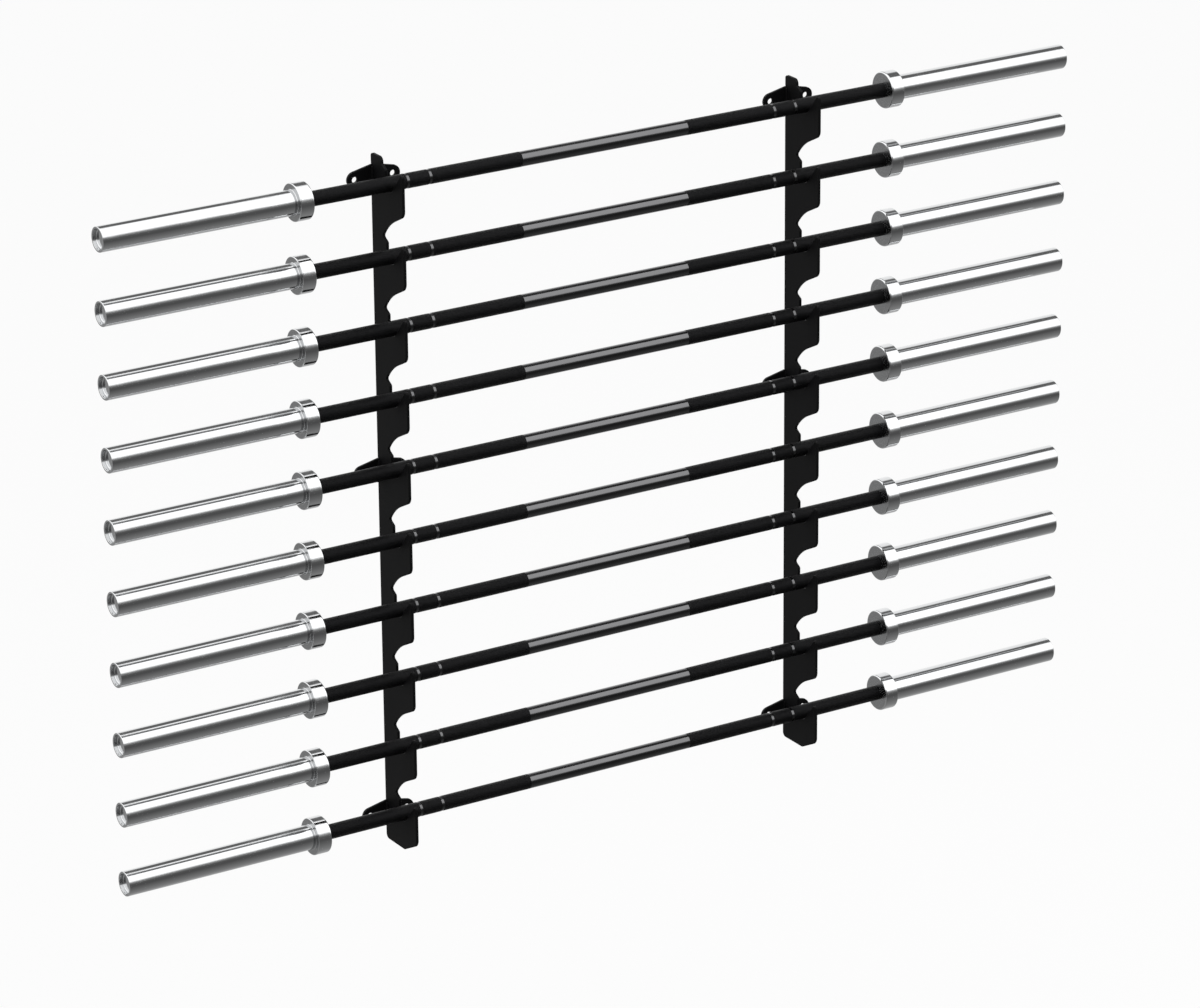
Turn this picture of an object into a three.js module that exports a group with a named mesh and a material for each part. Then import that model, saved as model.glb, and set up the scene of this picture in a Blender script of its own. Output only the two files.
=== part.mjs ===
// Wall rack for ten barbells, stocked: two laser-cut hook plates stand edge-on to the wall, each let
// into three flat wall wings, and every pair of hooks at one height carries one revolving barbell.
// Millimetres. +X runs along the bars, +Z is up, the wall is the plane Y = 0 and the room lies at -Y.
// The origin is on the wall, midway between the plates, at the fixing line of the middle wings.
import * as THREE from "three";

// The rack as a whole. Depths count from the wall towards the room.
const barCount = 10;
const barPitch = 145;
const uprightSpacing = 951;
const barStandoff = 69.5;
const weldGap = 0.3;
const facetSag = 0.4;

// Hook plate, cut from flat steel. Rises and drops count from the axis of a seated bar.
const plateThickness = 6;
const hookReach = 119;
const spineWidth = 38.5;
const seatClearance = 0.6;
const lipDegrees = 50;
const lipTipRadius = 4.5;
const heelRise = 24;
const heelDegrees = 30;
const heelRadius = 4;
const throatRadius = 5;
const kneeDepth = 57;
const kneeRadius = 105;
const noseRise = 91;
const noseDegrees = 27;
const noseRadius = 18;
const finWidth = 39.5;
const finHeight = 13;
const finFrontRadius = 10;
const finBackRadius = 6;
const finFootRadius = 3;
const tailHeight = 24;
const tailToeRadius = 8;
const tailHeelRadius = 10;

// Wall wing, a flat tab with a fixing hole in each rounded end and its deepest part behind the plate.
const wingThickness = 6;
const wingHoleSpacing = 84;
const wingHoleDiameter = 12;
const wingEndRadius = 16;
const wingMiddleRadius = 25;
const topWingSeat = 1;
const middleWingSeat = 5;
const topWingDrop = 2;
const lowerWingDrop = 20;

// Barbell shaft. A spigot at each end carries the sleeve, and a ring at its tip keeps the sleeve on.
const shaftDiameter = 30;
const gripLength = 1320;
const spigotDiameter = 26;
const retainerDiameter = 33;
const retainerThickness = 3;
const shaftFacets = 12;

// Sleeve, turned in one piece with its collar. Two bushings in its bore run on the spigot.
const sleeveDiameter = 50;
const sleeveLength = 440;
const sleeveEndChamfer = 1.5;
const collarDiameter = 75;
const collarLength = 30;
const collarChamfer = 2;
const bushingLength = 40;
const boreReliefDiameter = 31;
const runningClearance = 0.25;
const endPlay = 0.3;
const sleeveFacets = 14;

// End cap, a disc pushed into the counterbore in front of the retaining ring.
const counterboreDiameter = 41;
const counterboreDepth = 25;
const capThickness = 3;
const capRecess = 6;
const capChamfer = 1;
const capClearance = 0.3;

const powderCoat = new THREE.MeshStandardMaterial({ color: 0x161616, roughness: 0.55, metalness: 0.1 });
const blackShaft = new THREE.MeshStandardMaterial({ color: 0x202021, roughness: 0.4, metalness: 0.7 });
const hardChrome = new THREE.MeshStandardMaterial({ color: 0xd6d8da, roughness: 0.18, metalness: 1 });
const capChrome = new THREE.MeshStandardMaterial({ color: 0xc4c6c8, roughness: 0.22, metalness: 1 });

const seatRadius = shaftDiameter / 2 + seatClearance;
const seatBack = barStandoff - seatRadius;
const topSeatZ = lowerWingDrop + (middleWingSeat - 1) * barPitch;
const lipAngle = THREE.MathUtils.degToRad(lipDegrees);
const heelSlope = Math.tan(THREE.MathUtils.degToRad(heelDegrees));
const noseSlope = Math.tan(THREE.MathUtils.degToRad(noseDegrees));

const wings = [
  { name: "top", seat: topWingSeat, drop: topWingDrop },
  { name: "middle", seat: middleWingSeat, drop: lowerWingDrop },
  { name: "bottom", seat: barCount, drop: lowerWingDrop },
];
const sides = [
  { name: "left", sign: -1 },
  { name: "right", sign: 1 },
];

// Height of a seat's bar axis. Seat 1 is the top one.
function seatZ(seat) {
  return topSeatZ - (seat - 1) * barPitch;
}

function wingZ(wing) {
  return seatZ(wing.seat) - wing.drop;
}

// Points of a circular arc, as few as keep every chord within facetSag of the true curve.
function arcPoints(centre, radius, start, sweep) {
  const widest = 2 * Math.acos(1 - Math.min(facetSag / radius, 1));
  const steps = Math.ceil(Math.abs(sweep) / widest);
  const points = [];
  for (let i = 0; i <= steps; i++) {
    const angle = start + (sweep * i) / steps;
    const arm = new THREE.Vector2(Math.cos(angle), Math.sin(angle));
    points.push(arm.multiplyScalar(radius).add(centre));
  }
  return points;
}

// A closed outline through corners given as [x, y, radius], each rounded to its radius, or to what
// its two edges leave room for.
function roundedOutline(corners) {
  const at = corners.map(([x, y]) => new THREE.Vector2(x, y));
  const count = corners.length;
  const edges = at.map((point, i) => at[(i + 1) % count].clone().sub(point));
  const turns = edges.map((edge, i) => {
    const before = edges[(i + count - 1) % count];
    return Math.atan2(before.cross(edge), before.dot(edge));
  });
  const tangents = corners.map(([, , radius = 0], i) => radius * Math.tan(Math.abs(turns[i]) / 2));
  const fits = edges.map((edge, i) => {
    const needed = tangents[i] + tangents[(i + 1) % count];
    return needed > edge.length() ? edge.length() / needed : 1;
  });
  return corners.flatMap(([, , radius = 0], i) => {
    if (radius === 0) return [at[i]];
    const fit = Math.min(fits[i], fits[(i + count - 1) % count]);
    const onwards = edges[i].clone().normalize();
    const backwards = edges[(i + count - 1) % count].clone().normalize();
    const side = Math.sign(turns[i]);
    const normal = new THREE.Vector2(-backwards.y, backwards.x).multiplyScalar(side * radius * fit);
    const first = at[i].clone().addScaledVector(backwards, -tangents[i] * fit);
    const centre = first.clone().add(normal);
    const last = at[i].clone().addScaledVector(onwards, tangents[i] * fit);
    const arc = arcPoints(centre, radius * fit, Math.atan2(-normal.y, -normal.x), turns[i]);
    arc[0] = first;
    arc[arc.length - 1] = last;
    return arc;
  });
}

// The corners of one hook, from the throat above its seat round the lip to the nose below it, as
// [depth from the wall, height, radius]. The seat's radius makes it hug a bar at barStandoff.
function hookCorners(z) {
  const lipRun = hookReach - seatBack;
  const seatCornerZ = z - (seatRadius * (1 + Math.sin(lipAngle))) / Math.cos(lipAngle);
  return [
    [seatBack, z + heelRise, heelRadius],
    [seatBack, seatCornerZ, seatRadius],
    [hookReach, seatCornerZ + lipRun * Math.tan(lipAngle), lipTipRadius],
    [hookReach, z + noseRise - barPitch, noseRadius],
  ];
}

// The curved underside of a nose and the throat behind it, above the seat at height z.
function throatCorners(z) {
  return [
    [kneeDepth, z + noseRise - (hookReach - kneeDepth) * noseSlope, kneeRadius],
    [spineWidth, z + heelRise + (seatBack - spineWidth) * heelSlope, throatRadius],
  ];
}

// Side view of a hook plate: fin, ten hooks, tail, then the back edge with its notches for the wings.
function hookPlateOutline() {
  const finFootZ = seatZ(1) + heelRise + (seatBack - finWidth) * heelSlope;
  const finTopZ = finFootZ + finHeight;
  const tailZ = seatZ(barCount) + noseRise - barPitch - tailHeight;
  const corners = [
    [0, finTopZ, finBackRadius],
    [finWidth, finTopZ, finFrontRadius],
    [finWidth, finFootZ, finFootRadius],
  ];
  for (let seat = 1; seat <= barCount; seat++) {
    if (seat > 1) corners.push(...throatCorners(seatZ(seat)));
    corners.push(...hookCorners(seatZ(seat)));
  }
  corners.push([hookReach - tailHeight / noseSlope, tailZ, tailToeRadius], [0, tailZ, tailHeelRadius]);
  const notchDepth = wingThickness + weldGap;
  const notchHalf = wingMiddleRadius + weldGap;
  for (const wing of [...wings].reverse()) {
    const low = wingZ(wing) - notchHalf;
    const high = wingZ(wing) + notchHalf;
    corners.push([0, low], [notchDepth, low], [notchDepth, high], [0, high]);
  }
  return roundedOutline(corners);
}

// Hook plate, its middle plane at X = 0: the outline's depth runs to -Y and its height to +Z.
function hookPlateGeometry() {
  const outline = new THREE.Shape(hookPlateOutline());
  const geometry = new THREE.ExtrudeGeometry(outline, { depth: plateThickness, bevelEnabled: false });
  const depthwards = new THREE.Vector3(0, -1, 0);
  const upwards = new THREE.Vector3(0, 0, 1);
  const across = new THREE.Vector3().crossVectors(depthwards, upwards);
  geometry.translate(0, 0, -plateThickness / 2);
  return geometry.applyMatrix4(new THREE.Matrix4().makeBasis(depthwards, upwards, across));
}

// Wall wing, centred on its fixing line, its back on the wall: the taut outline round three circles.
function wingGeometry() {
  const holeOffset = wingHoleSpacing / 2;
  const lean = Math.asin((wingMiddleRadius - wingEndRadius) / holeOffset);
  const quarter = Math.PI / 2;
  const rightEnd = new THREE.Vector2(holeOffset, 0);
  const leftEnd = new THREE.Vector2(-holeOffset, 0);
  const middle = new THREE.Vector2();
  const outline = new THREE.Shape([
    ...arcPoints(rightEnd, wingEndRadius, lean - quarter, Math.PI - 2 * lean),
    ...arcPoints(middle, wingMiddleRadius, quarter - lean, 2 * lean),
    ...arcPoints(leftEnd, wingEndRadius, quarter + lean, Math.PI - 2 * lean),
    ...arcPoints(middle, wingMiddleRadius, 3 * quarter - lean, 2 * lean),
  ]);
  for (const centre of [leftEnd, rightEnd]) {
    outline.holes.push(new THREE.Path(arcPoints(centre, wingHoleDiameter / 2, 0, 2 * Math.PI).slice(1)));
  }
  const geometry = new THREE.ExtrudeGeometry(outline, { depth: wingThickness, bevelEnabled: false });
  return geometry.rotateX(quarter);
}

// A turned piece from a profile of [radius, height along its axis]. The axis is +Y.
function turned(profile, facets) {
  const points = profile.map(([radius, height]) => new THREE.Vector2(radius, height));
  return new THREE.LatheGeometry(points, facets);
}

// Radius at the corners of a faceted bore whose flats clear a round of the given radius.
function boreRadius(radius, facets) {
  return radius / Math.cos(Math.PI / facets);
}

// Shaft with both spigots and their retaining rings, its middle at the origin.
function shaftGeometry() {
  const spigotStart = gripLength / 2 - endPlay;
  const ringStart = gripLength / 2 + sleeveLength - counterboreDepth + endPlay;
  const half = [
    [shaftDiameter / 2, spigotStart],
    [spigotDiameter / 2, spigotStart],
    [spigotDiameter / 2, ringStart],
    [retainerDiameter / 2, ringStart],
    [retainerDiameter / 2, ringStart + retainerThickness],
    [0, ringStart + retainerThickness],
  ];
  const mirrored = half.map(([radius, height]) => [radius, -height]).reverse();
  return turned([...mirrored, ...half], shaftFacets);
}

// Sleeve, its collar's inner face at height 0 and its open end at sleeveLength.
function sleeveGeometry() {
  const collarRadius = collarDiameter / 2;
  const sleeveRadius = sleeveDiameter / 2;
  const bushingBore = boreRadius(spigotDiameter / 2 + runningClearance, sleeveFacets);
  const reliefRadius = boreReliefDiameter / 2;
  const counterboreRadius = counterboreDiameter / 2;
  const boreEnd = sleeveLength - counterboreDepth;
  const profile = [
    [bushingBore, 0],
    [collarRadius - collarChamfer, 0],
    [collarRadius, collarChamfer],
    [collarRadius, collarLength],
    [sleeveRadius, collarLength],
    [sleeveRadius, sleeveLength - sleeveEndChamfer],
    [sleeveRadius - sleeveEndChamfer, sleeveLength],
    [counterboreRadius, sleeveLength],
    [counterboreRadius, boreEnd],
    [bushingBore, boreEnd],
    [bushingBore, boreEnd - bushingLength],
    [reliefRadius, boreEnd - bushingLength],
    [reliefRadius, bushingLength],
    [bushingBore, bushingLength],
  ];
  return turned([...profile, profile[0]], sleeveFacets);
}

// End cap, placed along the sleeve's axis.
function capGeometry() {
  const capRadius = counterboreDiameter / 2 - capClearance;
  const face = sleeveLength - capRecess;
  const profile = [
    [0, face - capThickness],
    [capRadius, face - capThickness],
    [capRadius, face - capChamfer],
    [capRadius - capChamfer, face],
    [0, face],
  ];
  return turned(profile, sleeveFacets);
}

function namedMesh(name, geometry, material) {
  const mesh = new THREE.Mesh(geometry, material);
  mesh.name = name;
  return mesh;
}

// One upright: a hook plate and the wings that it is welded into.
function uprightGroup(side) {
  const group = new THREE.Group();
  group.position.x = (side.sign * uprightSpacing) / 2;
  group.add(namedMesh(`${side.name}_hook_plate`, hookPlateGeometry(), powderCoat));
  for (const wing of wings) {
    const mesh = namedMesh(`${side.name}_${wing.name}_wing`, wingGeometry(), powderCoat);
    mesh.position.z = wingZ(wing);
    group.add(mesh);
  }
  return group;
}

// One barbell in its seats, with a sleeve and an end cap turned outwards at each end.
function barbellGroup(seat) {
  const label = `bar_${String(seat).padStart(2, "0")}`;
  const group = new THREE.Group();
  group.position.set(0, -barStandoff, seatZ(seat));
  const shaft = namedMesh(`${label}_shaft`, shaftGeometry(), blackShaft);
  shaft.rotation.z = -Math.PI / 2;
  group.add(shaft);
  for (const side of sides) {
    const end = new THREE.Group();
    end.position.x = (side.sign * gripLength) / 2;
    end.rotation.z = (-side.sign * Math.PI) / 2;
    end.add(namedMesh(`${label}_${side.name}_sleeve`, sleeveGeometry(), hardChrome));
    end.add(namedMesh(`${label}_${side.name}_end_cap`, capGeometry(), capChrome));
    group.add(end);
  }
  return group;
}

const rack = new THREE.Group();
for (const side of sides) rack.add(uprightGroup(side));
for (let seat = 1; seat <= barCount; seat++) rack.add(barbellGroup(seat));

export default rack;
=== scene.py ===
# A wall rack of black steel hook plates with ten chrome-sleeved barbells lying in its hooks.
# Metres, in the rack's own frame: X runs along the bars, the wall is Y = 0 and the room is at -Y.
import math

import bmesh
import bpy
from mathutils import Matrix, Vector


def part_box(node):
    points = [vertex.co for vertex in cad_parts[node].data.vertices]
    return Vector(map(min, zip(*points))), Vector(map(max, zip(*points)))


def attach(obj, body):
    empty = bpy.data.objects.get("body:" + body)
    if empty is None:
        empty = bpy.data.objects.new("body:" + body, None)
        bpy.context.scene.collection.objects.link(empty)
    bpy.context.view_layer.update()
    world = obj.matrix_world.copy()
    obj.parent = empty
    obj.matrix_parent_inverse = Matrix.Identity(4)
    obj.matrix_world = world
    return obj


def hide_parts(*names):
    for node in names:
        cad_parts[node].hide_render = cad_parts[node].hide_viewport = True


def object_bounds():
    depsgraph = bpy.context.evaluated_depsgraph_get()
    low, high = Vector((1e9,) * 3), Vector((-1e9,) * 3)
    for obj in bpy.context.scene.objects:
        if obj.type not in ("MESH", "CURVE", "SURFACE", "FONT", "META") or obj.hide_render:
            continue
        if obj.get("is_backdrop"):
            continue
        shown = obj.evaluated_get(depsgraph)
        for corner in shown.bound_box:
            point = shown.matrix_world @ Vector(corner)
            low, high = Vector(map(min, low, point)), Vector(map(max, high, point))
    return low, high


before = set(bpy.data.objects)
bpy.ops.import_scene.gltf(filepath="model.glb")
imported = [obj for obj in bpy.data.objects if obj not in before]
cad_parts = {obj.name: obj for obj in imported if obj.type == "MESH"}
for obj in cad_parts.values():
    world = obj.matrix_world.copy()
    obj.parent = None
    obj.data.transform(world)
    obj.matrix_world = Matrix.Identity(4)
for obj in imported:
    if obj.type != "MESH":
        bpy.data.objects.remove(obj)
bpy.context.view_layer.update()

# Hook plates: 6 mm mild steel, laser cut to ten hooks, deburred, welded to the wings and powder
# coated black. They stand edge-on to the wall, and each bar lies in a seat cut to its own radius.
plate_low, plate_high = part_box("left_hook_plate")
plate_thickness = plate_high.x - plate_low.x
plate_middle = (plate_low.x + plate_high.x) / 2
hook_reach = -plate_low.y
deburred_edge = 0.0006
shaft_boxes = [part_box(name) for name in sorted(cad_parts) if name.endswith("_shaft")]
bar_axes = [(low + high) / 2 for low, high in shaft_boxes]
bar_pitch = bar_axes[0].z - bar_axes[1].z
shaft_diameter = 0.030
seat_clearance = 0.0006
seat_radius = shaft_diameter / 2 + seat_clearance
seat_back = -bar_axes[0].y - seat_radius
lip_angle = math.radians(50)
lip_tip_radius = 0.0045
heel_rise = 0.024
heel_slope = math.tan(math.radians(30))
heel_radius = 0.004
spine_width = 0.0385
throat_radius = 0.005
knee_depth = 0.057
knee_radius = 0.105
nose_rise = 0.091
nose_slope = math.tan(math.radians(27))
nose_radius = 0.018
fin_width = 0.0395
fin_height = 0.013
fin_radii = (0.006, 0.010, 0.003)
tail_height = 0.024
tail_radii = (0.008, 0.010)
wing_names = [f"left_{place}_wing" for place in ("bottom", "middle", "top")]
wing_boxes = [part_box(name) for name in wing_names]
notch_gap = 0.0003


def linear(hex_colour):
    """An sRGB hex colour as linear RGBA."""
    shares = [int(hex_colour[i : i + 2], 16) / 255 for i in (1, 3, 5)]
    return [s / 12.92 if s <= 0.04045 else ((s + 0.055) / 1.055) ** 2.4 for s in shares] + [1]


def node(tree, kind, inputs, **settings):
    """Adds a shader node. Each of its inputs is given a value or another node's output."""
    made = tree.nodes.new("ShaderNode" + kind)
    for setting, value in settings.items():
        setattr(made, setting, value)
    for socket, value in inputs.items():
        if isinstance(value, bpy.types.NodeSocket):
            tree.links.new(value, made.inputs[socket])
        else:
            made.inputs[socket].default_value = value
    return made


def new_object(name, data):
    """An object of that name with that data, in the scene."""
    made = bpy.data.objects.new(name, data)
    bpy.context.scene.collection.objects.link(made)
    return made


def rounded_outline(corners, sag=0.00003):
    """The closed outline through corners (x, y, radius), its arcs true to within sag."""
    outline = []
    for before, corner, after in zip(corners[-1:] + corners[:-1], corners, corners[1:] + corners[:1]):
        point, radius = Vector(corner[:2]), corner[2]
        arriving = (point - Vector(before[:2])).normalized()
        leaving = (Vector(after[:2]) - point).normalized()
        turn = math.atan2(arriving.cross(leaving), arriving.dot(leaving))
        if not radius:
            outline.append(point)
            continue
        start = point - arriving * radius * math.tan(abs(turn) / 2)
        arm = arriving.orthogonal() * radius * (-1 if turn > 0 else 1)
        steps = math.ceil(abs(turn) / (2 * math.acos(1 - sag / radius)))
        for step in range(steps + 1):
            swung = Matrix.Rotation(turn * step / steps, 2) @ arm
            outline.append(start - arm + swung)
    return outline


def cut_plate(name, outlines, thickness, edge_radius):
    """Flat plate in XY about Z = 0 with rounded-over edges. Its outline turns anticlockwise and its
    holes clockwise, so that steel is always on the left."""
    made = bmesh.new()
    edge_steps = 3
    quarter = [math.pi / 2 * step / edge_steps for step in range(edge_steps + 1)]
    section = [
        (edge_radius * (1 - math.sin(angle)), thickness / 2 - edge_radius * (1 - math.cos(angle)))
        for angle in quarter
    ]
    section += [(inset, -height) for inset, height in reversed(section)]
    rims = {1: [], -1: []}
    for outline in outlines:
        rings = [[] for _ in section]
        for before, point, after in zip(outline[-1:] + outline[:-1], outline, outline[1:] + outline[:1]):
            arriving = (point - before).normalized()
            leaving = (after - point).normalized()
            inward = Vector((-arriving.y - leaving.y, arriving.x + leaving.x))
            inward /= inward.dot(Vector((-leaving.y, leaving.x)))
            for ring, (inset, height) in zip(rings, section):
                ring.append(made.verts.new((point + inward * inset).to_3d() + Vector((0, 0, height))))
        for upper, lower in zip(rings[:-1], rings[1:]):
            for i in range(len(outline)):
                made.faces.new((upper[i - 1], lower[i - 1], lower[i], upper[i]))
        for side, ring in ((1, rings[0]), (-1, rings[-1])):
            rims[side] += [made.edges.get((ring[i - 1], ring[i])) for i in range(len(ring))]
    for side, rim in rims.items():
        bmesh.ops.triangle_fill(made, edges=rim, use_beauty=True, normal=(0, 0, side))
    bmesh.ops.recalc_face_normals(made, faces=made.faces)
    for face in made.faces:
        face.smooth = True
    for rim in rims.values():
        for edge in rim:
            edge.smooth = False
    mesh = bpy.data.meshes.new(name)
    made.to_mesh(mesh)
    made.free()
    return mesh


def hook_plate_outline():
    """The plate's side view as (depth from the wall, height), from the top of its back edge round."""
    fin_foot = bar_axes[0].z + heel_rise + (seat_back - fin_width) * heel_slope
    tail = bar_axes[-1].z + nose_rise - bar_pitch - tail_height
    seat_corner = -seat_radius * (1 + math.sin(lip_angle)) / math.cos(lip_angle)
    lip_height = seat_corner + (hook_reach - seat_back) * math.tan(lip_angle)
    corners = [
        (0, fin_foot + fin_height, fin_radii[0]),
        (fin_width, fin_foot + fin_height, fin_radii[1]),
        (fin_width, fin_foot, fin_radii[2]),
    ]
    for axis in bar_axes:
        if axis is not bar_axes[0]:
            knee_height = nose_rise - (hook_reach - knee_depth) * nose_slope
            throat_height = heel_rise + (seat_back - spine_width) * heel_slope
            corners.append((knee_depth, axis.z + knee_height, knee_radius))
            corners.append((spine_width, axis.z + throat_height, throat_radius))
        corners.append((seat_back, axis.z + heel_rise, heel_radius))
        corners.append((seat_back, axis.z + seat_corner, seat_radius))
        corners.append((hook_reach, axis.z + lip_height, lip_tip_radius))
        corners.append((hook_reach, axis.z + nose_rise - bar_pitch, nose_radius))
    corners.append((hook_reach - tail_height / nose_slope, tail, tail_radii[0]))
    corners.append((0, tail, tail_radii[1]))
    for low, high in wing_boxes:
        notch_depth = -low.y + notch_gap
        corners.append((0, low.z - notch_gap, 0))
        corners.append((notch_depth, low.z - notch_gap, 0))
        corners.append((notch_depth, high.z + notch_gap, 0))
        corners.append((0, high.z + notch_gap, 0))
    return list(reversed(rounded_outline(corners)))


# Satin black polyester powder coat: a deep black whose orange peel, about 2 mm from bump to bump,
# breaks up the light, with a duller film where dust lies and a rubbed gloss where the bars bear.
powder_coat = bpy.data.materials.new("satin_black_powder_coat")
powder_coat.use_nodes = True
tree = powder_coat.node_tree
peel_spacing = 0.002
peel_height = 0.00004
dust_spacing = 0.07
rub_width = 0.0025
rub_edge = seat_radius + rub_width
place = node(tree, "TexCoord", {}).outputs["Object"]
axes = node(tree, "SeparateXYZ", {"Vector": place})
seat_height = node(
    tree,
    "Math",
    {0: axes.outputs["Z"], 1: bar_axes[0].z + bar_pitch / 2, 2: bar_axes[0].z - bar_pitch / 2},
    operation="WRAP",
)
rise = node(tree, "Math", {0: seat_height.outputs[0], 1: bar_axes[0].z}, operation="SUBTRACT")
depth = node(tree, "Math", {0: axes.outputs["Y"], 1: bar_axes[0].y}, operation="SUBTRACT")
offset = node(tree, "CombineXYZ", {"Y": depth.outputs[0], "Z": rise.outputs[0]})
distance = node(tree, "VectorMath", {0: offset.outputs[0]}, operation="LENGTH").outputs["Value"]
rubbed = node(
    tree,
    "MapRange",
    {"Value": distance, "From Min": seat_radius, "From Max": rub_edge, "To Min": 1, "To Max": 0},
    interpolation_type="SMOOTHSTEP",
).outputs["Result"]
peel = node(tree, "TexNoise", {"Vector": place, "Scale": 1 / peel_spacing, "Detail": 2}).outputs["Fac"]
dust = node(tree, "TexNoise", {"Vector": place, "Scale": 1 / dust_spacing, "Detail": 4}).outputs["Fac"]
film = node(tree, "Mix", {0: dust, 6: linear("#080809"), 7: linear("#0f0f10")}, data_type="RGBA").outputs[2]
colour = node(tree, "Mix", {0: rubbed, 6: film, 7: linear("#1e1e1f")}, data_type="RGBA").outputs[2]
dull = node(tree, "MapRange", {"Value": dust, "To Min": 0.42, "To Max": 0.62}).outputs["Result"]
gloss = node(tree, "Mix", {0: rubbed, 2: dull, 3: 0.3}).outputs[0]
bumps = node(tree, "Bump", {"Strength": 0.5, "Distance": peel_height, "Height": peel}).outputs["Normal"]
coat = tree.nodes["Principled BSDF"]
coat.inputs["Specular IOR Level"].default_value = 0.1
tree.links.new(colour, coat.inputs["Base Color"])
tree.links.new(gloss, coat.inputs["Roughness"])
tree.links.new(bumps, coat.inputs["Normal"])

plate_mesh = cut_plate("hook_plate", [hook_plate_outline()], plate_thickness, deburred_edge)
plate_mesh.transform(Matrix(((0, 0, 1, 0), (-1, 0, 0, 0), (0, 1, 0, 0), (0, 0, 0, 1))))
plate_mesh.materials.append(powder_coat)
for side, sign in (("left", 1), ("right", -1)):
    plate = new_object(f"{side}_laser_cut_hook_plate", plate_mesh)
    plate.location.x = plate_middle * sign
    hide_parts(f"{side}_hook_plate")
    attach(plate, "rack")

# Wall wings: 6 mm steel tabs let into the back edge of each hook plate, drilled at both rounded ends
# for the wall fixings. They lie flat on the wall and carry the same coat as the plates.
wing_end_radius = 0.016
wing_middle_radius = 0.025
wing_hole_offset = 0.042
wing_hole_radius = 0.006
wing_end_steps = 20
wing_middle_steps = 6


def arc(centre_x, radius, start, sweep, steps):
    """Points of an arc about (centre_x, 0)."""
    angles = [start + sweep * step / steps for step in range(steps + 1)]
    return [Vector((centre_x + radius * math.cos(a), radius * math.sin(a))) for a in angles]


lean = math.asin((wing_middle_radius - wing_end_radius) / wing_hole_offset)
end_sweep = math.pi - 2 * lean
wing_outline = [
    *arc(wing_hole_offset, wing_end_radius, lean - math.pi / 2, end_sweep, wing_end_steps),
    *arc(0, wing_middle_radius, math.pi / 2 - lean, 2 * lean, wing_middle_steps),
    *arc(-wing_hole_offset, wing_end_radius, math.pi / 2 + lean, end_sweep, wing_end_steps),
    *arc(0, wing_middle_radius, 1.5 * math.pi - lean, 2 * lean, wing_middle_steps),
]
wing_holes = [
    arc(offset, wing_hole_radius, 0, -2 * math.pi, 2 * wing_end_steps)[1:]
    for offset in (-wing_hole_offset, wing_hole_offset)
]
wing_low, wing_high = wing_boxes[0]
wing_thickness = wing_high.y - wing_low.y
wing_mesh = cut_plate("wall_wing", [wing_outline, *wing_holes], wing_thickness, deburred_edge)
wing_mesh.transform(Matrix.Rotation(math.pi / 2, 4, "X"))
wing_mesh.materials.append(powder_coat)
for side in ("left", "right"):
    for place_name in ("top", "middle", "bottom"):
        low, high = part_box(f"{side}_{place_name}_wing")
        wing = new_object(f"{side}_{place_name}_drilled_wing", wing_mesh)
        wing.location = (low + high) / 2
        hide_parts(f"{side}_{place_name}_wing")
        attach(wing, "rack")

# Weld beads: a fillet of weld metal runs down both sides of the plate where it meets each wing,
# rippled by the puddle's steps and coated with the rest.
weld_leg = 0.0038
weld_ripple = 0.003
weld_end_gap = 0.002
weld_section_shares = ((-0.25, -0.25), (1, 0), (0.72, 0.42), (0.42, 0.72), (0, 1))
weld_steps_per_ripple = 6
weld_ripple_share = 0.1
weld_end_share = 0.35
weld_end_growth = 14
weld_half = wing_middle_radius - weld_end_gap
station_count = round(2 * weld_half / weld_ripple * weld_steps_per_ripple)
beads = bmesh.new()
for sign in (-1, 1):
    rings = []
    for station in range(station_count + 1):
        share = station / station_count
        puddle = abs(math.sin(math.pi * station / weld_steps_per_ripple))
        taper = min(1, weld_end_share + weld_end_growth * min(share, 1 - share))
        leg = weld_leg * taper * (1 - weld_ripple_share + weld_ripple_share * puddle)
        height = weld_half * (2 * share - 1)
        rings.append(
            [
                beads.verts.new((sign * (plate_thickness / 2 + leg * x), -leg * y, height))
                for x, y in weld_section_shares
            ]
        )
    for lower, upper in zip(rings[:-1], rings[1:]):
        for i in range(len(lower)):
            beads.faces.new((lower[i - 1], lower[i], upper[i], upper[i - 1]))
    beads.faces.new(rings[0])
    beads.faces.new(reversed(rings[-1]))
bmesh.ops.recalc_face_normals(beads, faces=beads.faces)
for face in beads.faces:
    face.smooth = True
bead_mesh = bpy.data.meshes.new("weld_beads")
beads.to_mesh(bead_mesh)
beads.free()
bead_mesh.materials.append(powder_coat)
for side in ("left", "right"):
    for place_name in ("top", "middle", "bottom"):
        low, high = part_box(f"{side}_{place_name}_wing")
        bead = new_object(f"{side}_{place_name}_weld_beads", bead_mesh)
        bead.location = ((low.x + high.x) / 2, low.y, (low.z + high.z) / 2)
        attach(bead, "rack")

# Barbell shafts: 30 mm spring steel, turned down at the ends for the sleeves, knurled from the
# collars to the smooth centre but for two ring marks a side, and finished in black zinc.
grip_half = 0.66
centre_half = 0.1893
ring_marks = (0.3936, 0.4432)
ring_mark_width = 0.006
ring_mark_depth = 0.0003
spigot_radius = 0.013
retainer_radius = 0.0165
retainer_thickness = 0.003
shaft_edge = 0.0004
shoulder_gap = 0.0003
shoulder_chamfer = 0.0007
shaft_segments = 64
shaft_end = max(high.x for low, high in shaft_boxes)


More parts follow.
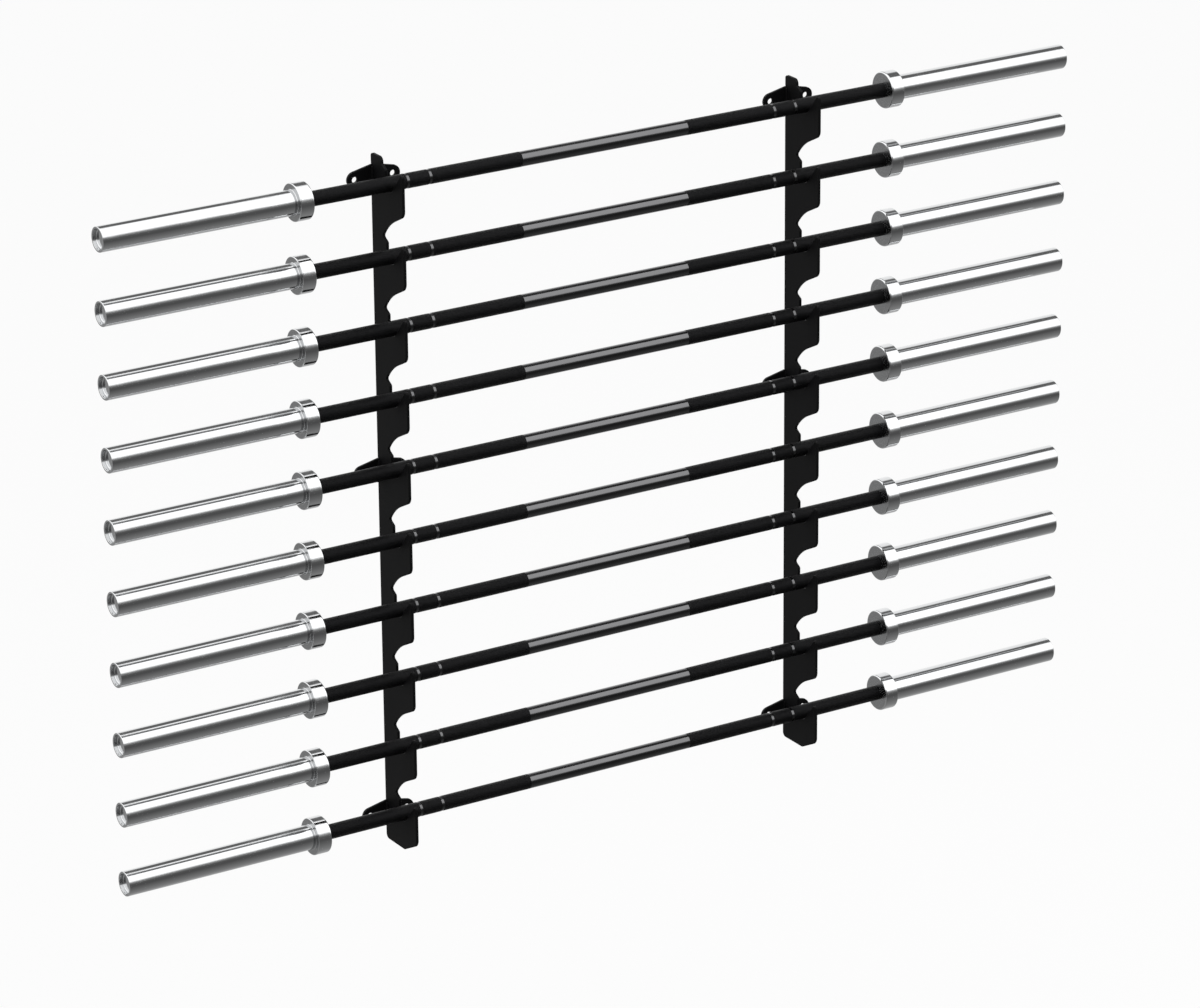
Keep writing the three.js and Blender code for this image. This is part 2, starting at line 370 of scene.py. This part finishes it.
def turn(name, profile, segments, materials, kink=math.radians(32)):
    """A piece turned about the X axis from stations (x, radius, material index), in order round its
    section. Extra rings keep long straight runs flat in the light, and kinks stay sharp."""
    ring_gap = 0.0004
    shortest_run = 4 * ring_gap
    stations = []
    for (x, radius, material), (next_x, next_radius, _) in zip(profile, profile[1:] + profile[:1]):
        run = math.hypot(next_x - x, next_radius - radius)
        stations.append((x, radius, material))
        if run > shortest_run and radius + next_radius > 0:
            for share in (ring_gap / run, 1 - ring_gap / run):
                between = (x + (next_x - x) * share, radius + (next_radius - radius) * share)
                stations.append((*between, material))
    made = bmesh.new()
    rings = []
    for x, radius, _ in stations:
        if radius == 0:
            rings.append([made.verts.new((x, 0, 0))] * segments)
            continue
        angles = [2 * math.pi * step / segments for step in range(segments)]
        rings.append([made.verts.new((x, radius * math.cos(a), radius * math.sin(a))) for a in angles])
    for here, (near, far) in enumerate(zip(rings, rings[1:] + rings[:1])):
        if stations[here][1] == 0 and stations[(here + 1) % len(stations)][1] == 0:
            continue
        for step in range(segments):
            corners = [near[step - 1], near[step], far[step], far[step - 1]]
            face = made.faces.new(dict.fromkeys(corners))
            face.material_index = stations[here][2]
            face.smooth = True
    bmesh.ops.recalc_face_normals(made, faces=made.faces)
    mesh = bpy.data.meshes.new(name)
    made.to_mesh(mesh)
    made.free()
    mesh.set_sharp_from_angle(angle=kink)
    for material in materials:
        mesh.materials.append(material)
    return mesh


def round_position(tree):
    """Where a point of a turned piece lies: along its axis, round it in turns, and the whole vector."""
    place = node(tree, "TexCoord", {}).outputs["Object"]
    axes = node(tree, "SeparateXYZ", {"Vector": place})
    angle = node(
        tree, "Math", {0: axes.outputs["Z"], 1: axes.outputs["Y"]}, operation="ARCTAN2"
    ).outputs[0]
    turns = node(tree, "Math", {0: angle, 1: 2 * math.pi}, operation="DIVIDE").outputs[0]
    return axes.outputs["X"], turns, place


# Black zinc on knurled steel: near black, with each diamond's flanks throwing a dull grey glint and painted
# shade darkening the grooves between them. The real diamonds are 1.2 mm across and are drawn at twice that,
# the least that shows a step away.
knurled_zinc = bpy.data.materials.new("knurled_black_zinc")
knurled_zinc.use_nodes = True
tree = knurled_zinc.node_tree
knurl_pitch = 0.0024
knurl_height = 0.0004
groove_share = 0.16
knurls_round = round(math.pi * shaft_diameter / knurl_pitch)
along, around, _ = round_position(tree)
ridges = []
for hand in (-1, 1):
    rows = node(tree, "Math", {0: along, 1: 1 / knurl_pitch}, operation="MULTIPLY").outputs[0]
    phase = node(
        tree, "Math", {0: around, 1: hand * knurls_round, 2: rows}, operation="MULTIPLY_ADD"
    ).outputs[0]
    ridges.append(node(tree, "Math", {0: phase, 1: 0.5}, operation="PINGPONG").outputs[0])
diamond = node(tree, "Math", {0: ridges[0], 1: ridges[1]}, operation="MINIMUM").outputs[0]
groove_and_painted_shade = node(tree, "MapRange", {"Value": diamond, "From Max": groove_share}).outputs["Result"]
# Painted shade: the grooves get a darker base colour than the diamond tops, for the shade that falls in them;
# the same mask also raises the diamonds in the bump.
colour = node(
    tree, "Mix", {0: groove_and_painted_shade, 6: linear("#070708"), 7: linear("#262627")}, data_type="RGBA"
).outputs[2]
bumps = node(tree, "Bump", {"Strength": 0.8, "Distance": knurl_height, "Height": groove_and_painted_shade}).outputs["Normal"]
grip = tree.nodes["Principled BSDF"]
grip.inputs["Metallic"].default_value = 1
grip.inputs["Roughness"].default_value = 0.5
tree.links.new(colour, grip.inputs["Base Color"])
tree.links.new(bumps, grip.inputs["Normal"])

# Black zinc on ground steel: the smooth centre and the ring marks. It mirrors the light as a grey
# gleam, streaked along its length by handling.
smooth_zinc = bpy.data.materials.new("ground_black_zinc")
smooth_zinc.use_nodes = True
tree = smooth_zinc.node_tree
streak_length = 0.05
streak_width = 0.003
along, around, _ = round_position(tree)
streak_turns = math.pi * shaft_diameter / streak_width
lengthwise = node(tree, "Math", {0: along, 1: 1 / streak_length}, operation="MULTIPLY").outputs[0]
crosswise = node(tree, "Math", {0: around, 1: streak_turns}, operation="MULTIPLY").outputs[0]
streak_place = node(tree, "CombineXYZ", {"X": lengthwise, "Y": crosswise}).outputs[0]
streaks = node(tree, "TexNoise", {"Vector": streak_place, "Scale": 1, "Detail": 3}).outputs["Fac"]
worn = node(tree, "MapRange", {"Value": streaks, "To Min": 0.1, "To Max": 0.18}).outputs["Result"]
colour = node(
    tree, "Mix", {0: streaks, 6: linear("#515152"), 7: linear("#59595a")}, data_type="RGBA"
).outputs[2]
ground = tree.nodes["Principled BSDF"]
ground.inputs["Metallic"].default_value = 1
tree.links.new(colour, ground.inputs["Base Color"])
tree.links.new(worn, ground.inputs["Roughness"])

grip_radius = shaft_diameter / 2
mark_radius = grip_radius - ring_mark_depth
right_half = []
for mark in ring_marks:
    mark_start = mark - ring_mark_width / 2
    mark_end = mark + ring_mark_width / 2
    right_half += [
        (mark_start, grip_radius, 0),
        (mark_start + shaft_edge, mark_radius, 1),
        (mark_end - shaft_edge, mark_radius, 0),
        (mark_end, grip_radius, 0),
    ]
right_half = [
    (centre_half, grip_radius, 0),
    *right_half,
    (grip_half - shoulder_gap - shoulder_chamfer, grip_radius, 1),
    (grip_half - shoulder_gap, grip_radius - shoulder_chamfer, 1),
    (grip_half - shoulder_gap, spigot_radius, 1),
    (shaft_end - retainer_thickness, spigot_radius, 1),
    (shaft_end - retainer_thickness, retainer_radius, 1),
    (shaft_end, retainer_radius, 1),
    (shaft_end, 0, 1),
]
left_half = []
for i, (x, radius, _) in reversed(list(enumerate(right_half))):
    left_half.append((-x, radius, right_half[i - 1][2] if i else 1))
shaft_mesh = turn("shaft", left_half + right_half, shaft_segments, [knurled_zinc, smooth_zinc])
for seat, axis in enumerate(bar_axes, start=1):
    shaft = new_object(f"bar_{seat:02d}_knurled_shaft", shaft_mesh)
    shaft.location = axis
    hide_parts(f"bar_{seat:02d}_shaft")
    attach(shaft, f"bar_{seat:02d}")

# Sleeves: 50 mm steel tube turned in one piece with its 75 mm collar, bored for two bushings and
# counterbored for the end cap, then polished and hard chrome plated, the open end too.
sleeve_low, sleeve_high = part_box("bar_01_right_sleeve")
sleeve_length = sleeve_high.x - sleeve_low.x
sleeve_radius = 0.025
sleeve_edge = 0.0015
collar_radius = 0.0375
collar_length = 0.03
collar_inboard_edge = 0.003
collar_outboard_edge = 0.002
root_fillet = 0.001
bushing_bore = 0.0136
bushing_length = 0.04
relief_bore = 0.0155
counterbore = 0.0205
counterbore_depth = 0.025
mouth_edge = 0.0008
sleeve_segments = 96

# Polished hard chrome: mirrors the studio as crisp bands along the sleeve. The plate's fingerprints
# and rub marks only dull it in patches, and faint rings are left by the lathe under the polish.
hard_chrome = bpy.data.materials.new("polished_hard_chrome")
hard_chrome.use_nodes = True
tree = hard_chrome.node_tree
smear_spacing = 0.05
lathe_feed = 0.0015
lathe_height = 0.00001
along, _, place = round_position(tree)
smears = node(tree, "TexNoise", {"Vector": place, "Scale": 1 / smear_spacing, "Detail": 5}).outputs["Fac"]
dulled = node(
    tree, "MapRange", {"Value": smears, "From Min": 0.4, "From Max": 0.7, "To Min": 0.07, "To Max": 0.15}
).outputs["Result"]
turned_rings = node(
    tree, "TexNoise", {"W": along, "Scale": 1 / lathe_feed, "Detail": 2}, noise_dimensions="1D"
)
bumps = node(
    tree, "Bump", {"Strength": 0.2, "Distance": lathe_height, "Height": turned_rings.outputs["Fac"]}
).outputs["Normal"]
chrome = tree.nodes["Principled BSDF"]
chrome.inputs["Base Color"].default_value = linear("#d4d5d6")
chrome.inputs["Metallic"].default_value = 1
tree.links.new(dulled, chrome.inputs["Roughness"])
tree.links.new(bumps, chrome.inputs["Normal"])


def rings_across(tree, spacing, detail):
    """Noise in rings about the X axis, as a cutter or a press tool leaves them on a turned piece's face."""
    place = node(tree, "TexCoord", {}).outputs["Object"]
    axes = node(tree, "SeparateXYZ", {"Vector": place})
    across = node(tree, "CombineXYZ", {"Y": axes.outputs["Y"], "Z": axes.outputs["Z"]}).outputs[0]
    radius = node(tree, "VectorMath", {0: across}, operation="LENGTH").outputs["Value"]
    return node(
        tree, "TexNoise", {"W": radius, "Scale": 1 / spacing, "Detail": detail}, noise_dimensions="1D"
    ).outputs["Fac"]


# The collar's faces keep the fine rings of the facing cut under the chrome, which smear what they
# mirror into a soft grey.
faced_chrome = bpy.data.materials.new("chrome_over_facing_cut")
faced_chrome.use_nodes = True
tree = faced_chrome.node_tree
facing_feed = 0.0015
facing_height = 0.00002
cut_rings = rings_across(tree, facing_feed, 2)
soft = node(tree, "MapRange", {"Value": cut_rings, "To Min": 0.2, "To Max": 0.3}).outputs["Result"]
bumps = node(
    tree, "Bump", {"Strength": 0.3, "Distance": facing_height, "Height": cut_rings}
).outputs["Normal"]
faced = tree.nodes["Principled BSDF"]
faced.inputs["Base Color"].default_value = linear("#b6b7b8")
faced.inputs["Metallic"].default_value = 1
tree.links.new(soft, faced.inputs["Roughness"])
tree.links.new(bumps, faced.inputs["Normal"])

sleeve_corners = [
    (0, bushing_bore, 0),
    (0, collar_radius, collar_inboard_edge),
    (collar_length, collar_radius, collar_outboard_edge),
    (collar_length, sleeve_radius, root_fillet),
    (sleeve_length, sleeve_radius, sleeve_edge),
    (sleeve_length, counterbore, mouth_edge),
    (sleeve_length - counterbore_depth, counterbore, 0),
    (sleeve_length - counterbore_depth, bushing_bore, 0),
    (sleeve_length - counterbore_depth - bushing_length, bushing_bore, 0),
    (sleeve_length - counterbore_depth - bushing_length, relief_bore, 0),
    (bushing_length, relief_bore, 0),
    (bushing_length, bushing_bore, 0),
]
sleeve_outline = rounded_outline(sleeve_corners)
least_face_rise = collar_length / 4
sleeve_profile = []
for point, after in zip(sleeve_outline, sleeve_outline[1:] + sleeve_outline[:1]):
    across_face = abs(after.y - point.y) > least_face_rise
    sleeve_profile.append((point.x, point.y, 1 if across_face else 0))
sleeve_mesh = turn("sleeve", sleeve_profile, sleeve_segments, [hard_chrome, faced_chrome])
outboard = {"left": Matrix.Rotation(math.pi, 4, "Z"), "right": Matrix.Identity(4)}
for seat, axis in enumerate(bar_axes, start=1):
    for side, sign in (("left", -1), ("right", 1)):
        name = f"bar_{seat:02d}_{side}"
        sleeve = new_object(f"{name}_chromed_sleeve", sleeve_mesh)
        collar_face = Vector((sign * sleeve_low.x, axis.y, axis.z))
        sleeve.matrix_world = Matrix.Translation(collar_face) @ outboard[side]
        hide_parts(f"{name}_sleeve")
        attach(sleeve, f"{name}_end")

# End caps: steel discs, pressed with a shallow dish and a raised rim, chromed like the sleeves and
# pushed into the counterbore in front of the retaining ring.
cap_low, cap_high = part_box("bar_01_right_end_cap")
cap_face = cap_high.x - sleeve_low.x
cap_thickness = cap_high.x - cap_low.x
cap_gap = 0.0003
cap_radius = counterbore - cap_gap
cap_rim_width = 0.003
cap_dish = 0.0012
cap_edge = 0.0006
cap_segments = 64

# Chrome on pressed sheet: bright but not polished, with fine rings from the press tool.
pressed_chrome = bpy.data.materials.new("chromed_pressing")
pressed_chrome.use_nodes = True
tree = pressed_chrome.node_tree
ring_spacing = 0.0012
ring_height = 0.00001
press_rings = rings_across(tree, ring_spacing, 1)
hazed = node(tree, "MapRange", {"Value": press_rings, "To Min": 0.08, "To Max": 0.16}).outputs["Result"]
bumps = node(
    tree, "Bump", {"Strength": 0.2, "Distance": ring_height, "Height": press_rings}
).outputs["Normal"]
pressed = tree.nodes["Principled BSDF"]
pressed.inputs["Base Color"].default_value = linear("#cfd0d1")
pressed.inputs["Metallic"].default_value = 1
tree.links.new(hazed, pressed.inputs["Roughness"])
tree.links.new(bumps, pressed.inputs["Normal"])

cap_corners = [
    (cap_face - cap_thickness, 0, 0),
    (cap_face - cap_thickness, cap_radius, 0),
    (cap_face, cap_radius, cap_edge),
    (cap_face, cap_radius - cap_rim_width, cap_edge),
    (cap_face - cap_dish, cap_radius - cap_rim_width - cap_dish, cap_edge),
    (cap_face - cap_dish, 0, 0),
]
cap_profile = [(point.x, point.y, 0) for point in rounded_outline(cap_corners)]
cap_mesh = turn("end_cap", cap_profile, cap_segments, [pressed_chrome])
for seat, axis in enumerate(bar_axes, start=1):
    for side, sign in (("left", -1), ("right", 1)):
        name = f"bar_{seat:02d}_{side}"
        cap = new_object(f"{name}_pressed_cap", cap_mesh)
        collar_face = Vector((sign * sleeve_low.x, axis.y, axis.z))
        cap.matrix_world = Matrix.Translation(collar_face) @ outboard[side]
        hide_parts(f"{name}_end_cap")
        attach(cap, f"{name}_end")

# Studio floor: a pale floor well below the rack, wide enough to fill every view. To the camera it
# is nearly white, and the rest of it is lit and shaded by what stands over it.
floor_height = -1.7
floor_half = 40
floor_glow = 0.88
floor_mesh = bpy.data.meshes.new("floor")
floor_corners = [(-1, -1), (1, -1), (1, 1), (-1, 1)]
floor_points = [(x * floor_half, y * floor_half, floor_height) for x, y in floor_corners]
floor_mesh.from_pydata(floor_points, [], [(0, 1, 2, 3)])
floor = new_object("floor", floor_mesh)
floor.visible_glossy = False
floor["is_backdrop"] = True


def seen_directly(tree):
    """1 for what the camera sees straight on, in a mirror or through glass, and 0 otherwise."""
    path = node(tree, "LightPath", {}).outputs
    mirrored = node(
        tree, "Math", {0: path["Is Camera Ray"], 1: path["Is Glossy Ray"]}, operation="MAXIMUM"
    ).outputs[0]
    return node(tree, "Math", {0: mirrored, 1: path["Is Transmission Ray"]}, operation="MAXIMUM").outputs[0]


pale_floor = bpy.data.materials.new("pale_floor")
pale_floor.use_nodes = True
tree = pale_floor.node_tree
pale = tree.nodes["Principled BSDF"]
pale.inputs["Base Color"].default_value = linear("#f4f4f4")
pale.inputs["Roughness"].default_value = 0.9
share = node(tree, "Math", {0: seen_directly(tree), 1: floor_glow}, operation="MULTIPLY").outputs[0]
glow = node(tree, "Emission", {"Color": linear("#ffffff")}).outputs[0]
surface = node(tree, "MixShader", {0: share, 1: pale.outputs[0], 2: glow}).outputs[0]
tree.links.new(surface, tree.nodes["Material Output"].inputs["Surface"])
floor_mesh.materials.append(pale_floor)

# Studio room: what the polished metal mirrors, as a great ball that only mirror-like rays meet. Over
# and in front of the rack hangs one long white light, hotter in its middle and askew to the right.
# Below it the room is dark, and a grey gap parts it from the pale wall behind the rack.
room_radius = 30
room_brightness = 1.6
room_bands = (
    (-180, "#d8d8d8"),
    (-150, "#b8b8b8"),
    (-125, "#9a9a9a"),
    (-85, "#767676"),
    (-45, "#5e5e5e"),
    (-14, "#464646"),
    (5, "#4c4c4c"),
    (21, "#808080"),
    (34, "#ffffff"),
    (112, "#ffffff"),
    (120, "#585858"),
    (152, "#585858"),
    (162, "#d8d8d8"),
)
light_askew = math.radians(27)
askew_low = math.radians(-40)
askew_high = math.radians(90)
askew_start = 0.42 * room_radius
light_middle = 0.49 * room_radius
hot_core = 0.03 * room_radius
hot_edge = 0.06 * room_radius
white_power = 4
left_wall_foot = -0.1 * room_radius
left_wall_top = 0.3 * room_radius
left_wall_start = 0.1 * room_radius
left_wall_end = -0.2 * room_radius
corner_half = 0.1 * room_radius
room_mesh = bpy.data.meshes.new("studio_room")
ball = bmesh.new()
bmesh.ops.create_uvsphere(ball, u_segments=48, v_segments=24, radius=room_radius)
ball.to_mesh(room_mesh)
ball.free()
room = new_object("studio_room", room_mesh)
for ray in ("camera", "diffuse", "transmission", "volume_scatter", "shadow"):
    setattr(room, f"visible_{ray}", False)
room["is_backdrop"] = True
room_walls = bpy.data.materials.new("studio_room")
room_walls.use_nodes = True
room_walls.cycles.emission_sampling = "NONE"
tree = room_walls.node_tree
place = node(tree, "TexCoord", {}).outputs["Object"]
axes = node(tree, "SeparateXYZ", {"Vector": place}).outputs
outwards = node(tree, "Math", {0: axes["Y"], 1: -1}, operation="MULTIPLY").outputs[0]
climb = node(tree, "Math", {0: axes["Z"], 1: outwards}, operation="ARCTAN2").outputs[0]
rightwards = node(
    tree,
    "MapRange",
    {"Value": axes["X"], "From Min": askew_start, "From Max": light_middle},
    interpolation_type="SMOOTHSTEP",
).outputs[0]
upwards = node(
    tree, "MapRange", {"Value": climb, "From Min": askew_low, "From Max": askew_high, "To Max": light_askew}
).outputs[0]
askew = node(tree, "Math", {0: rightwards, 1: upwards, 2: climb}, operation="MULTIPLY_ADD").outputs[0]
turned = node(tree, "MapRange", {"Value": askew, "From Min": -math.pi, "From Max": math.pi}).outputs[0]
bands = node(tree, "ValToRGB", {"Fac": turned})
stops = bands.color_ramp.elements
stops.remove(stops[1])
for i, (degrees, grey) in enumerate(room_bands):
    stop = stops.new((degrees + 180) / 360) if i else stops[0]
    stop.position = (degrees + 180) / 360
    stop.color = linear(grey)
height = node(
    tree,
    "MapRange",
    {"Value": axes["Z"], "From Min": left_wall_foot, "From Max": left_wall_top},
    interpolation_type="SMOOTHSTEP",
).outputs[0]
left_wall = node(
    tree, "Mix", {0: height, 6: linear("#7c7c7c"), 7: linear("#ffffff")}, data_type="RGBA"
).outputs[2]
leftwards = node(
    tree,
    "MapRange",
    {"Value": axes["X"], "From Min": left_wall_start, "From Max": left_wall_end},
    interpolation_type="SMOOTHSTEP",
).outputs[0]
backwards = node(
    tree,
    "MapRange",
    {"Value": axes["Y"], "From Min": -corner_half, "From Max": corner_half},
    interpolation_type="SMOOTHSTEP",
).outputs[0]
corner = node(tree, "Math", {0: leftwards, 1: backwards}, operation="MULTIPLY").outputs[0]
walls = node(tree, "Mix", {0: corner, 6: bands.outputs["Color"], 7: left_wall}, data_type="RGBA").outputs[2]
# The power keeps the extra heat to what is white already.
off_middle = node(tree, "Math", {0: axes["X"], 1: light_middle}, operation="SUBTRACT").outputs[0]
off_middle = node(tree, "Math", {0: off_middle}, operation="ABSOLUTE").outputs[0]
hot = node(
    tree,
    "MapRange",
    {"Value": off_middle, "From Min": hot_edge, "From Max": hot_core},
    interpolation_type="SMOOTHSTEP",
).outputs[0]
white = node(tree, "Math", {0: bands.outputs["Color"], 1: white_power}, operation="POWER").outputs[0]
extra = node(tree, "Math", {0: hot, 1: white}, operation="MULTIPLY").outputs[0]
strength = node(
    tree, "Math", {0: extra, 1: room_brightness, 2: room_brightness}, operation="MULTIPLY_ADD"
).outputs[0]
shine = node(tree, "Emission", {"Color": walls, "Strength": strength}).outputs[0]
tree.links.new(shine, tree.nodes["Material Output"].inputs["Surface"])
room_mesh.materials.append(room_walls)


# Softboxes: the same light for what isn't a mirror, one box over the rack and one high in front.
def softbox(name, centre, aim, width, height):
    """A flat lamp as bright as the room's white light, which no camera or mirror sees."""
    light = bpy.data.lights.new(name, "AREA")
    light.shape = "RECTANGLE"
    light.size = width
    light.size_y = height
    light.energy = room_brightness * math.pi * width * height
    lamp = new_object(name, light)
    lamp.location = centre
    lamp.rotation_euler = (Vector(aim) - Vector(centre)).to_track_quat("-Z", "Y").to_euler()
    lamp.visible_camera = False
    lamp.visible_glossy = False


softbox("overhead_softbox", (0.6, -0.3, 3.0), (0.6, -0.3, 0), 2.6, 2.4)
softbox("front_softbox", (1.2, -3.3, 2.7), (0.2, -0.1, 0.2), 3.4, 1.6)

# Studio air: as white behind everything as the floor looks, and a plain even light from all round.
even_light = 0.75
seen_white = 0.965
world = bpy.data.worlds.new("studio")
bpy.context.scene.world = world
world.use_nodes = True
world.cycles.sampling_method = "NONE"
tree = world.node_tree
strength = node(
    tree, "MapRange", {"Value": seen_directly(tree), "To Min": even_light, "To Max": seen_white}
).outputs["Result"]
tree.links.new(strength, tree.nodes["Background"].inputs["Strength"])
tree.nodes["Background"].inputs["Color"].default_value = linear("#ffffff")

# Camera: stands off to the left of the rack and above it, with a long lens.
camera_azimuth = math.radians(31.78)
camera_elevation = math.radians(20.65)
camera_roll = math.radians(-0.5)
camera_distance = 11.132
camera_target = Vector((-0.01314, -0.0695, -0.14598))
focal_pixels = 5597
image_width = 1200
forward = Vector(
    (
        math.sin(camera_azimuth) * math.cos(camera_elevation),
        math.cos(camera_azimuth) * math.cos(camera_elevation),
        -math.sin(camera_elevation),
    )
)
level = Vector((math.cos(camera_azimuth), -math.sin(camera_azimuth), 0))
rotation = Matrix((level, level.cross(forward), -forward)).transposed() @ Matrix.Rotation(camera_roll, 3, "Z")
camera_data = bpy.data.cameras.new("camera")
camera_data.sensor_width = 36
camera_data.lens = focal_pixels / image_width * camera_data.sensor_width
camera = new_object("camera", camera_data)
camera.matrix_world = Matrix.Translation(camera_target - forward * camera_distance) @ rotation.to_4x4()
bpy.context.scene.camera = camera
bpy.context.scene.view_settings.view_transform = "Standard"

bpy.context.view_layer.update()
low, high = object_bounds()
